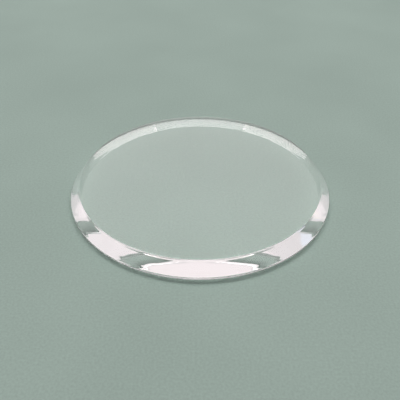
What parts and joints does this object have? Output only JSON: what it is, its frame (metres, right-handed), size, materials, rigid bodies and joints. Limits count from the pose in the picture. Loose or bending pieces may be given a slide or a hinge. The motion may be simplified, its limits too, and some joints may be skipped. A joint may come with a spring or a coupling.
{
  "type": "watch crystal",
  "caption": "Round, flat, clear cover for a watch dial: a polished plate with a steep bevel round its top face, a low upright rim that presses into the case and a bevelled lower edge.",
  "frame": {"origin": "centre of the underside, on the plate's axis", "axes": "+Z along the plate's axis, out of the watch through the bevelled top face; X and Y lie in the underside and are alike"},
  "size_m": [0.029, 0.029, 0.002],
  "materials": {
    "polished_mineral_glass": "polished, clear and untinted, with a finely ground rim and lower bevel"
  },
  "bodies": {
    "root": {"crystal": "polished_mineral_glass"}
  },
  "joints": []
}
